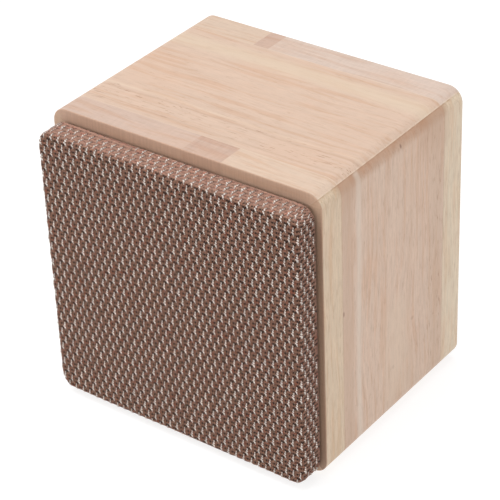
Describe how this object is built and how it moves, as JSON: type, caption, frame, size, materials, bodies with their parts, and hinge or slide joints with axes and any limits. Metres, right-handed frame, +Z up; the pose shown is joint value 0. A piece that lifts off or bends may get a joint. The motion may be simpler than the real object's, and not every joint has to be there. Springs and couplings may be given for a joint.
{
  "type": "desktop loudspeaker",
  "caption": "Small wooden cube loudspeaker with rounded edges, a pull-off woven cloth grille, a full-range driver, and recessed rear controls, sockets and bass port.",
  "frame": {"origin": "on the surface it stands on, under the middle of the whole object's plan", "axes": "+X to the right seen from the front, +Y from the cloth grille towards the back, +Z up"},
  "size_m": [0.1, 0.0864, 0.1015],
  "materials": {
    "rubberwood": "fine-sanded, thin clear oil",
    "fibreboard": "bare fibreboard",
    "black_board": "fibreboard with a matt black coat",
    "grille_fabric": "coarse woven speaker cloth, copper brown with pale dashes",
    "frame_plastic": "moulded, matt",
    "foam": "closed-cell foam",
    "soft_rubber": "matt",
    "foot_rubber": "matt",
    "basket_plastic": "glass-filled moulding",
    "black_steel": "black zinc",
    "zinc_steel": "zinc plated",
    "ferrite": "sintered, ground faces",
    "cone_paper": "pressed pulp",
    "cap_paper": "pressed pulp",
    "surround_rubber": "satin",
    "spider_cloth": "resin-dipped cotton",
    "former_film": "amber film",
    "copper_wire": "enamelled copper wire",
    "phenolic": "phenolic board",
    "brass": "tinned brass",
    "plate_plastic": "fine spark-eroded grain",
    "button_rubber": "soft satin",
    "switch_plastic": "moulded",
    "slider_plastic": "moulded, ribbed",
    "circuit_board": "green solder mask",
    "chip_plastic": "moulded",
    "capacitor_can": "sleeved can",
    "connector_plastic": "natural nylon",
    "port_steel": "nickel plated",
    "jack_plastic": "moulded",
    "clear_plastic": "clear moulding",
    "cell_wrap": "shrink film",
    "nickel": "nickel strip",
    "lead_insulation": "vinyl insulation",
    "felt": "soft felt"
  },
  "bodies": {
    "cabinet": {"aux_jack": "jack_plastic", "back_gasket": "foam", "back_panel": "black_board", "baffle_blocks": "fibreboard", "bass_port": "plate_plastic", "battery_cell": "cell_wrap", "battery_contacts": "nickel", "battery_holder": "frame_plastic", "battery_leads": "lead_insulation", "board_capacitors": "capacitor_can", "board_chips": "chip_plastic", "board_screws": "zinc_steel", "board_standoffs": "brass", "case_bottom": "rubberwood", "case_left": "rubberwood", "case_right": "rubberwood", "case_top": "rubberwood", "charging_socket": "port_steel", "control_plate": "plate_plastic", "damping_felt": "felt", "driver_basket": "basket_plastic", "driver_gasket": "foam", "driver_screws": "black_steel", "front_baffle": "fibreboard", "lead_connectors": "connector_plastic", "light_pipe": "clear_plastic", "magnet": "ferrite", "main_board": "circuit_board", "panel_blocks": "fibreboard", "panel_screws": "black_steel", "peg_sockets": "soft_rubber", "plate_screws": "black_steel", "pole_yoke": "zinc_steel", "power_switch_housing": "port_steel", "rubber_feet": "foot_rubber", "speaker_leads": "lead_insulation", "spider": "spider_cloth", "surround": "surround_rubber", "surround_ring": "foam", "tact_switches": "port_steel", "terminal_lugs": "brass", "terminal_strip": "phenolic", "top_plate": "zinc_steel"},
    "grille": {"grille_frame": "frame_plastic", "grille_cloth": "grille_fabric", "grille_gasket": "foam", "grille_pegs": "frame_plastic"},
    "cone": {"cone": "cone_paper", "dust_cap": "cap_paper", "coil_former": "former_film", "coil_winding": "copper_wire"},
    "power_slider": {"power_slider": "slider_plastic"},
    "button_volume_down": {"button_volume_down": "button_rubber", "plunger_volume_down": "switch_plastic"},
    "button_play": {"button_play": "button_rubber", "plunger_play": "switch_plastic"},
    "button_volume_up": {"button_volume_up": "button_rubber", "plunger_volume_up": "switch_plastic"}
  },
  "joints": [
    {"name": "grille_pull", "type": "slide", "parent": "cabinet", "child": "grille", "axis": [0, -1, 0], "range_m": [0, 0.03]},
    {"name": "cone_travel", "type": "slide", "parent": "cabinet", "child": "cone", "axis": [0, -1, 0], "range_m": [-0.0025, 0.0025], "stiffness_N_per_m": 1000, "deforming": ["surround", "spider"]},
    {"name": "power_slide", "type": "slide", "parent": "cabinet", "child": "power_slider", "axis": [1, 0, 0], "range_m": [0, 0.003]},
    {"name": "press_volume_down", "type": "slide", "parent": "cabinet", "child": "button_volume_down", "axis": [0, -1, 0], "range_m": [0, 0.0004], "stiffness_N_per_m": 1500},
    {"name": "press_play", "type": "slide", "parent": "cabinet", "child": "button_play", "axis": [0, -1, 0], "range_m": [0, 0.0004], "stiffness_N_per_m": 1500},
    {"name": "press_volume_up", "type": "slide", "parent": "cabinet", "child": "button_volume_up", "axis": [0, -1, 0], "range_m": [0, 0.0004], "stiffness_N_per_m": 1500}
  ]
}
